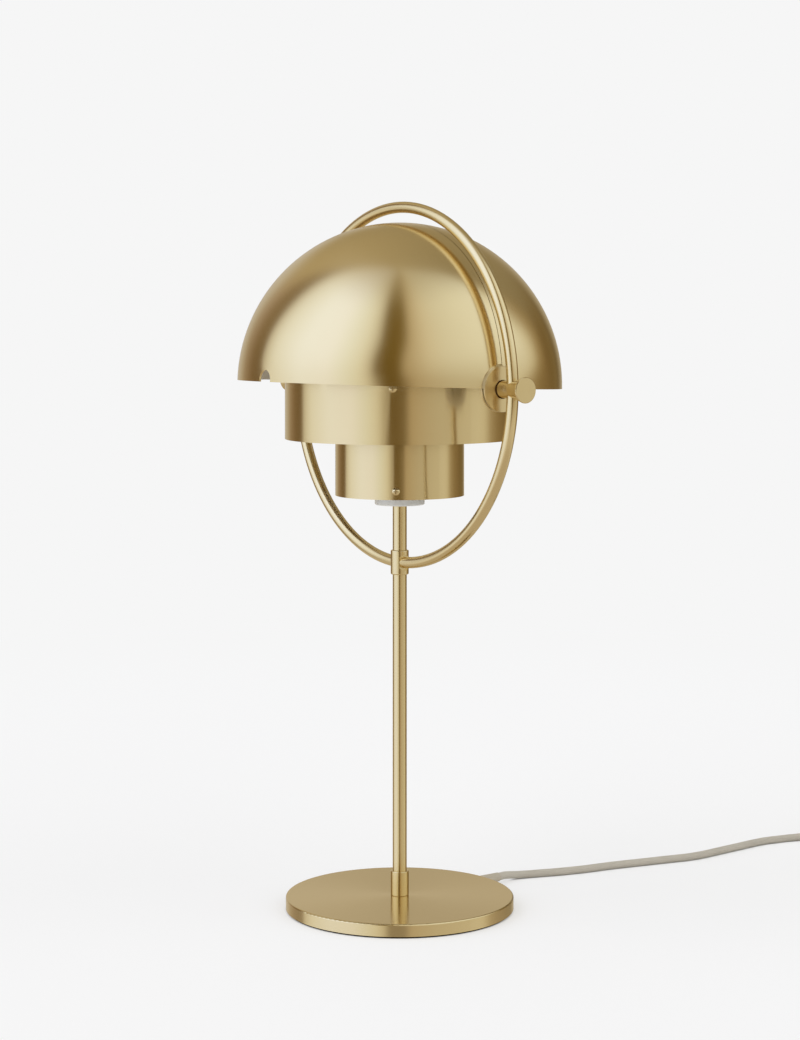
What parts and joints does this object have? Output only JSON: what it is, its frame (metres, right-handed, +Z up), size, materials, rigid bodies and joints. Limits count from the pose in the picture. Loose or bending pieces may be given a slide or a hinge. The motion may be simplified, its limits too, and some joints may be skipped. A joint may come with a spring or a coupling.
{
  "type": "dome shade desk lamp",
  "caption": "Desk lamp with two quarter-sphere brass shades turning on pivots in an upright ring round two open cylinders, on a thin pole and a round weighted base.",
  "frame": {"origin": "middle of the base's underside, on the table", "axes": "+Z up; X along the shades' pivots; +Y towards the back, where the cord leaves the base"},
  "size_m": [0.2788, 0.6149, 0.5],
  "materials": {
    "base_cover": "brushed and lacquered brass",
    "base_weight": "cast weight",
    "base_pad": "soft pad",
    "base_nut": "plated steel",
    "base_washer": "plated steel",
    "pole_collar": "brushed and lacquered brass",
    "collar_grub_screw": "plated steel",
    "pole_lower": "brushed and lacquered brass",
    "ring_connector": "brushed and lacquered brass",
    "pole_upper": "brushed and lacquered brass",
    "ring": "brushed and lacquered brass",
    "holder_cap": "white",
    "cylinder_bracket": "brushed and lacquered brass",
    "lampholder_body": "white",
    "terminal_block": "white",
    "screw_shell": "brushed and lacquered brass",
    "centre_contact": "sprung contact",
    "lead_wires": "insulated copper wires",
    "bulb_cap": "plated steel",
    "bulb_glass": "frosted glass",
    "inner_cylinder": "brushed and lacquered brass",
    "outer_band": "brushed and lacquered brass",
    "band_spacers": "brushed and lacquered brass",
    "bracket_screws": "brushed and lacquered brass",
    "band_screws": "brushed and lacquered brass",
    "spacer_screws": "brushed and lacquered brass",
    "front_shade": "brushed and lacquered brass",
    "rear_shade": "brushed and lacquered brass",
    "right_pivot_post": "brushed and lacquered brass",
    "left_pivot_post": "brushed and lacquered brass",
    "right_knob": "brushed and lacquered brass",
    "left_knob": "brushed and lacquered brass",
    "pivot_bushes": "black nylon",
    "friction_washers": "black nylon",
    "flat_washers": "plated steel",
    "spring_washers": "plated steel",
    "pivot_bolts": "plated steel",
    "strain_relief": "moulded relief",
    "inner_cord": "braided textile cord",
    "cord_run": "braided textile cord",
    "switch_base": "moulded plastic",
    "switch_cover": "moulded plastic",
    "switch_rocker": "moulded plastic",
    "cord_link": "braided textile cord",
    "cord_coil": "braided textile cord",
    "coil_tie": "reusable strap",
    "cord_tail": "braided textile cord",
    "plug_body": "moulded plastic",
    "plug_pins": "plated steel"
  },
  "bodies": {
    "frame": {"base_cover": "base_cover", "base_weight": "base_weight", "base_pad": "base_pad", "base_nut": "base_nut", "base_washer": "base_washer", "pole_collar": "pole_collar", "collar_grub_screw": "collar_grub_screw", "pole_lower": "pole_lower", "ring_connector": "ring_connector", "pole_upper": "pole_upper", "ring": "ring", "holder_cap": "holder_cap", "cylinder_bracket": "cylinder_bracket", "lampholder_body": "lampholder_body", "terminal_block": "terminal_block", "screw_shell": "screw_shell", "centre_contact": "centre_contact", "lead_wires": "lead_wires", "bulb_cap": "bulb_cap", "bulb_glass": "bulb_glass", "inner_cylinder": "inner_cylinder", "outer_band": "outer_band", "band_spacers": "band_spacers", "bracket_screws": "bracket_screws", "band_screws": "band_screws", "spacer_screws": "spacer_screws", "right_pivot_post": "right_pivot_post", "left_pivot_post": "left_pivot_post", "right_knob": "right_knob", "left_knob": "left_knob", "pivot_bushes": "pivot_bushes", "friction_washers": "friction_washers", "flat_washers": "flat_washers", "spring_washers": "spring_washers", "pivot_bolts": "pivot_bolts", "strain_relief": "strain_relief", "inner_cord": "inner_cord", "cord_run": "cord_run", "switch_base": "switch_base", "switch_cover": "switch_cover", "cord_link": "cord_link", "cord_coil": "cord_coil", "coil_tie": "coil_tie", "cord_tail": "cord_tail", "plug_body": "plug_body", "plug_pins": "plug_pins"},
    "front_shade": {"front_shade": "front_shade"},
    "rear_shade": {"rear_shade": "rear_shade"},
    "rocker": {"switch_rocker": "switch_rocker"}
  },
  "joints": [
    {"name": "front_shade_pivot", "type": "hinge", "parent": "frame", "child": "front_shade", "pos_m": [0, 0, 0.3705], "axis": [1, 0, 0], "range_deg": [0, 92]},
    {"name": "rear_shade_pivot", "type": "hinge", "parent": "frame", "child": "rear_shade", "pos_m": [0, 0, 0.3705], "axis": [-1, 0, 0], "range_deg": [0, 88]},
    {"name": "switch_rocker_tilt", "type": "hinge", "parent": "frame", "child": "rocker", "pos_m": [0.032, 0.442, 0.0119], "axis": [1, 0, 0], "range_deg": [-14, 0]}
  ]
}
